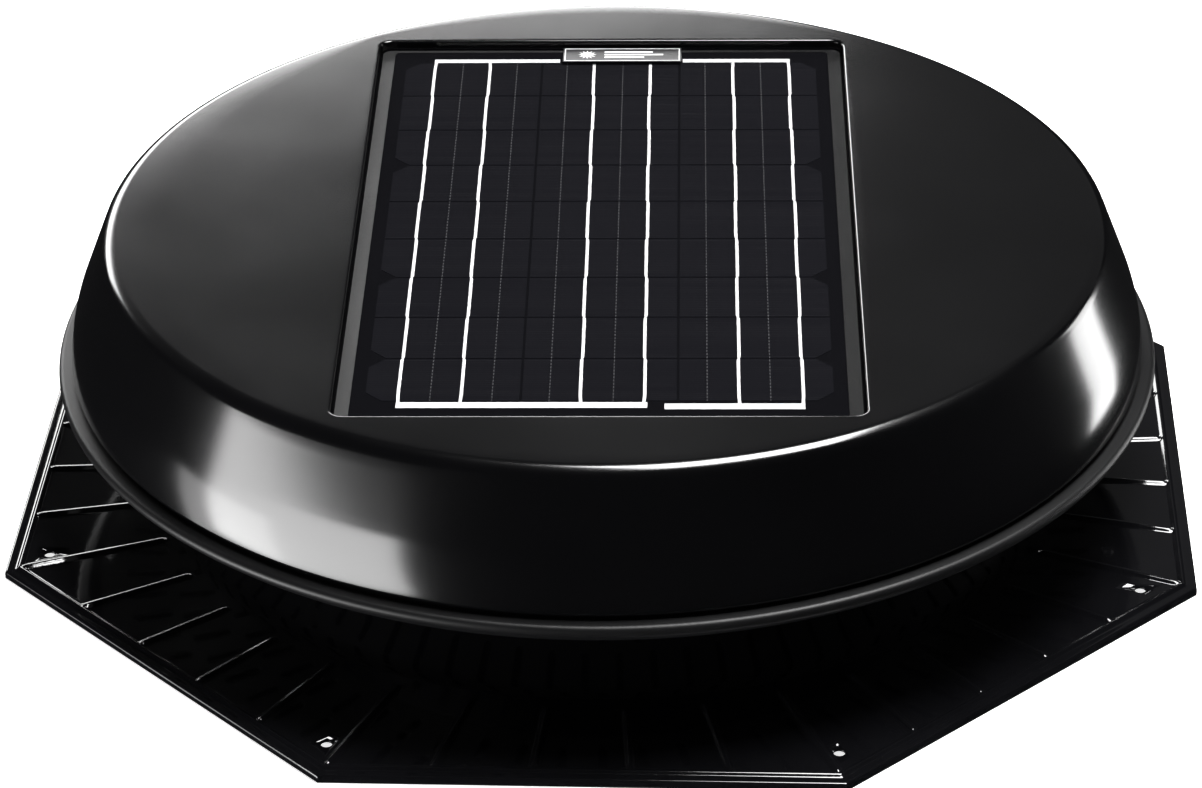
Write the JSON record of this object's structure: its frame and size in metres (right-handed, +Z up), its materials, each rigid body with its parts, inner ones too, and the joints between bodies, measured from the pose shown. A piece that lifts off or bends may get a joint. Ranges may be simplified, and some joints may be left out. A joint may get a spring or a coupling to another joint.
{
  "type": "solar attic fan",
  "caption": "Round black roof vent on an octagonal ribbed flashing, with a solar panel sunk into its flat top and a motor-driven fan inside.",
  "frame": {"origin": "centre of the flashing's underside, on the fan's axis, where the part lies on the roof", "axes": "+Z up along the fan's axis, -Y is the front edge seen in the reference view, +X to its right, +Y to the rear"},
  "size_m": [0.635, 0.635, 0.1556],
  "materials": {
    "flashing_gloss_black": "gloss",
    "hood_satin_black": "satin",
    "ring_dark_grey": "matte",
    "screen_black": "matte",
    "rubber_black": "matte",
    "glass": "gloss",
    "cells": "gloss",
    "ribbon_metal": "satin",
    "backsheet_black": "matte",
    "label_black": "satin",
    "sealant_black": "matte",
    "motor_grey": "satin",
    "motor_alloy": "satin",
    "lamination_steel": "satin",
    "copper_wire": "gloss",
    "magnet": "satin",
    "circuit_board": "satin",
    "bearing_steel": "polished",
    "hub_alloy": "satin",
    "galvanised": "satin",
    "rivet_alloy": "satin",
    "zinc_screw": "satin",
    "box_plastic": "satin",
    "gland_plastic": "satin",
    "cable_jacket": "satin",
    "blade_aluminium": "satin"
  },
  "bodies": {
    "housing": {"bus_bars": "ribbon_metal", "cable_gland": "gland_plastic", "cell_ribbons": "ribbon_metal", "connector_plug": "gland_plastic", "connector_socket": "gland_plastic", "driver_board": "circuit_board", "edge_seal": "sealant_black", "flashing": "flashing_gloss_black", "hood": "hood_satin_black", "hood_gasket": "rubber_black", "hood_screws": "zinc_screw", "isolators": "rubber_black", "junction_box": "box_plastic", "junction_box_lid": "box_plastic", "lead_clips": "gland_plastic", "lid_screws": "zinc_screw", "lower_motor_bell": "motor_alloy", "lower_outer_race": "bearing_steel", "lower_ring": "ring_dark_grey", "motor_can": "motor_grey", "motor_grommet": "rubber_black", "motor_lead": "cable_jacket", "motor_plate": "galvanised", "motor_screws": "zinc_screw", "neck_rivets": "rivet_alloy", "outlet_screen": "screen_black", "panel_adhesive": "sealant_black", "panel_backsheet": "backsheet_black", "panel_glass": "glass", "panel_label": "label_black", "panel_lead": "cable_jacket", "plate_screws": "zinc_screw", "screen_rivets": "rivet_alloy", "solar_cells": "cells", "spoke_1": "galvanised", "spoke_2": "galvanised", "spoke_3": "galvanised", "spoke_4": "galvanised", "stator_coils": "copper_wire", "stator_core": "lamination_steel", "upper_motor_bell": "motor_alloy", "upper_outer_race": "bearing_steel"},
    "rotor": {"shaft": "bearing_steel", "rotor_core": "lamination_steel", "rotor_magnets": "magnet", "lower_inner_race": "bearing_steel", "upper_inner_race": "bearing_steel", "fan_hub": "hub_alloy", "fan_spider": "galvanised", "hub_rivets": "rivet_alloy", "hub_set_screw": "zinc_screw", "hub_nut": "zinc_screw", "blade_rivets": "rivet_alloy", "fan_blade_1": "blade_aluminium", "fan_blade_2": "blade_aluminium", "fan_blade_3": "blade_aluminium", "fan_blade_4": "blade_aluminium", "fan_blade_5": "blade_aluminium"},
    "lower_balls": {"lower_ball_set": "bearing_steel"},
    "upper_balls": {"upper_ball_set": "bearing_steel"}
  },
  "joints": [
    {"name": "fan_spin", "type": "hinge", "parent": "housing", "child": "rotor", "pos_m": [0, 0, 0.052], "axis": [0, 0, 1], "continuous": true},
    {"name": "lower_balls_spin", "type": "hinge", "parent": "housing", "child": "lower_balls", "pos_m": [0, 0, 0.0885], "axis": [0, 0, 1], "continuous": true},
    {"name": "upper_balls_spin", "type": "hinge", "parent": "housing", "child": "upper_balls", "pos_m": [0, 0, 0.126], "axis": [0, 0, 1], "continuous": true}
  ],
  "couplings": [
    {"joint": "lower_balls_spin", "follows": "fan_spin", "ratio": 0.3733},
    {"joint": "upper_balls_spin", "follows": "fan_spin", "ratio": 0.3733}
  ]
}
